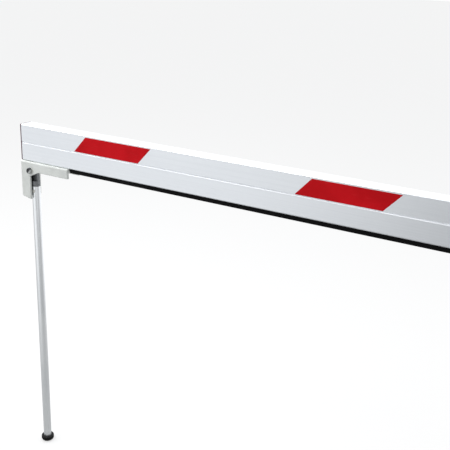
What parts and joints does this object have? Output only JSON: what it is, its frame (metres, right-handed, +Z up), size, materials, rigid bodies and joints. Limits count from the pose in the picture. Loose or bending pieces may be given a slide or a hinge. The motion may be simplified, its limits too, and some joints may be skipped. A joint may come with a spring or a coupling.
{
  "type": "parking barrier gate",
  "caption": "Box-section barrier arm with red reflective blocks, a rubber edge and a hinged support leg under its tip, on a bearing-mounted lift shaft.",
  "frame": {"origin": "centre of the housing's four bolt holes, on the housing's mounting face", "axes": "+Z up, +Y out of the mounting face into the wall or post, boom along X with its tip at -X"},
  "size_m": [2.507, 0.1894, 0.921],
  "materials": {
    "cast_housing": "grey painted casting",
    "bearing_steel": "ground and polished",
    "shield_rubber": "smooth",
    "spring_steel": "phosphated",
    "ground_steel": "turned and ground",
    "key_steel": "bright drawn",
    "holder_paint": "powder coated, fine texture",
    "zinc_steel": "zinc plated",
    "boom_aluminium": "satin anodised, brushed lengthwise",
    "insert_plastic": "moulded",
    "tip_cap_plastic": "moulded, fine grain",
    "butt_cap_plastic": "moulded, fine grain",
    "edge_rubber": "extruded, satin",
    "red_film": "retroreflective sheeting",
    "bracket_paint": "powder coated, off-white",
    "pad_rubber": "moulded",
    "bush_bronze": "sintered",
    "head_casting": "die cast, tumbled",
    "leg_aluminium": "drawn, satin anodised",
    "foot_rubber": "moulded"
  },
  "bodies": {
    "shaft_housing": {"bearing_housing": "cast_housing", "bearing_outer_races": "bearing_steel", "bearing_balls": "bearing_steel", "bearing_shields": "shield_rubber", "shaft_seal": "shield_rubber", "housing_circlip": "spring_steel", "stop_buffers": "pad_rubber"},
    "boom_arm": {"bearing_inner_races": "bearing_steel", "bearing_spacer": "ground_steel", "shaft_circlip": "spring_steel", "drive_shaft": "ground_steel", "hub_key": "key_steel", "hub_grub_screw": "spring_steel", "boom_holder": "holder_paint", "clamp_plate": "holder_paint", "clamp_bolts": "zinc_steel", "clamp_washers": "zinc_steel", "butt_inserts": "insert_plastic", "boom_profile": "boom_aluminium", "butt_cap": "butt_cap_plastic", "butt_cap_screws": "zinc_steel", "tip_cap": "tip_cap_plastic", "tip_cap_screws": "zinc_steel", "edge_strip": "edge_rubber", "front_films": "red_film", "rear_films": "red_film", "leg_bracket": "bracket_paint", "bracket_screws": "zinc_steel", "slot_nuts": "zinc_steel", "stop_pad": "pad_rubber", "pad_screws": "zinc_steel", "pivot_bolt": "spring_steel", "pivot_nut": "zinc_steel", "pivot_washers": "zinc_steel", "pivot_spacers": "zinc_steel"},
    "leg": {"leg_head": "head_casting", "pivot_bush": "bush_bronze", "head_rivet": "zinc_steel", "leg_tube": "leg_aluminium", "leg_foot": "foot_rubber", "foot_disc_plate": "zinc_steel"}
  },
  "joints": [
    {"name": "boom_lift", "type": "hinge", "parent": "shaft_housing", "child": "boom_arm", "pos_m": [0, 0, 0], "axis": [0, 1, 0], "range_deg": [0, 87.5]},
    {"name": "leg_swing", "type": "hinge", "parent": "boom_arm", "child": "leg", "pos_m": [-2.402, -0.102, -0.067], "axis": [0, -1, 0], "range_deg": [0, 87.5]}
  ],
  "couplings": [
    {"joint": "leg_swing", "follows": "boom_lift", "ratio": 1}
  ]
}
